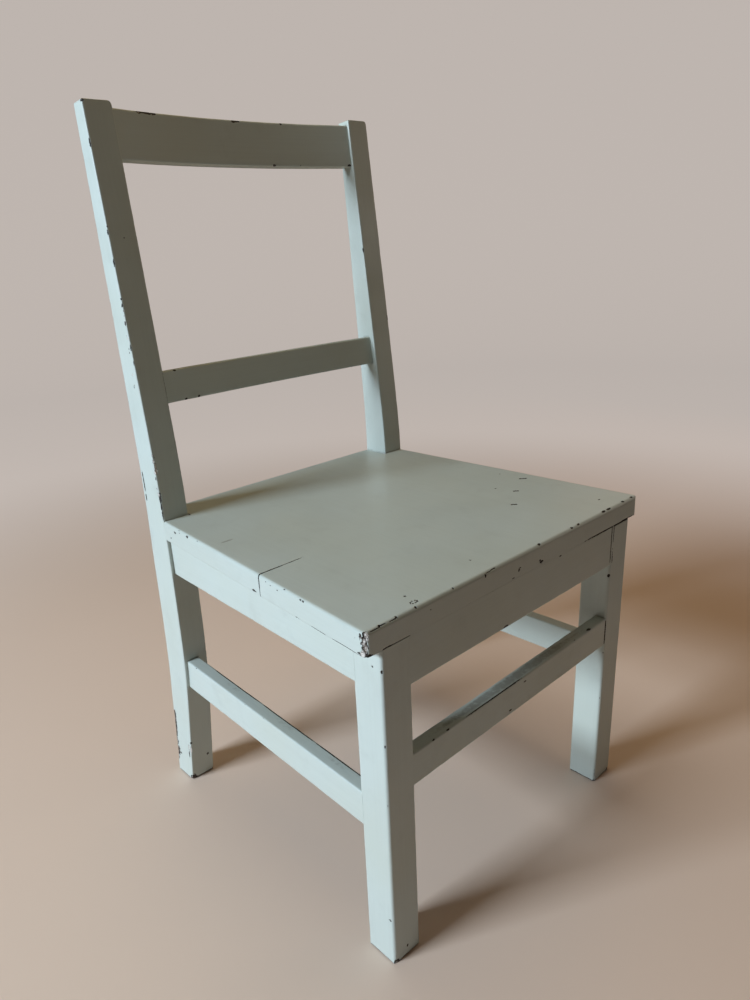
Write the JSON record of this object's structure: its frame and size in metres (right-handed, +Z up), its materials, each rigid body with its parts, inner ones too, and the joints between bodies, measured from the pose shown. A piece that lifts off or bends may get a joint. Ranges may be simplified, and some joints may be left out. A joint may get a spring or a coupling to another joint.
{
  "type": "peeling paint chair",
  "caption": "Painted wooden kitchen chair with a board seat, raked back posts, two back rails and low stretchers, its paint chipped and worn.",
  "frame": {"origin": "on the floor under the middle of the chair's bounding box", "axes": "+Z up, the sitter faces -Y, +X to the right for someone who stands in front and looks at the chair"},
  "size_m": [0.484, 0.488, 0.914],
  "materials": {
    "painted_frame": "old satin grey-green oil paint, chipped and rubbed through to dark wood at the edges",
    "painted_seat": "old satin grey-green oil paint, scuffed, with small chips and a bare corner",
    "bare_wood": "unpainted, darkened with age",
    "screw_steel": "dull, lightly rusted"
  },
  "bodies": {
    "root": {"front_leg_left": "painted_frame", "front_leg_right": "painted_frame", "back_post_left": "painted_frame", "back_post_right": "painted_frame", "front_apron": "painted_frame", "left_apron": "painted_frame", "right_apron": "painted_frame", "back_apron": "painted_frame", "seat_board_front": "painted_seat", "seat_board_back": "painted_seat", "left_stretcher": "painted_frame", "right_stretcher": "painted_frame", "front_stretcher": "painted_frame", "top_rail": "painted_frame", "middle_rail": "painted_frame", "corner_block_front_left": "bare_wood", "corner_block_front_right": "bare_wood", "corner_block_back_left": "bare_wood", "corner_block_back_right": "bare_wood", "seat_screws": "screw_steel"}
  },
  "joints": []
}
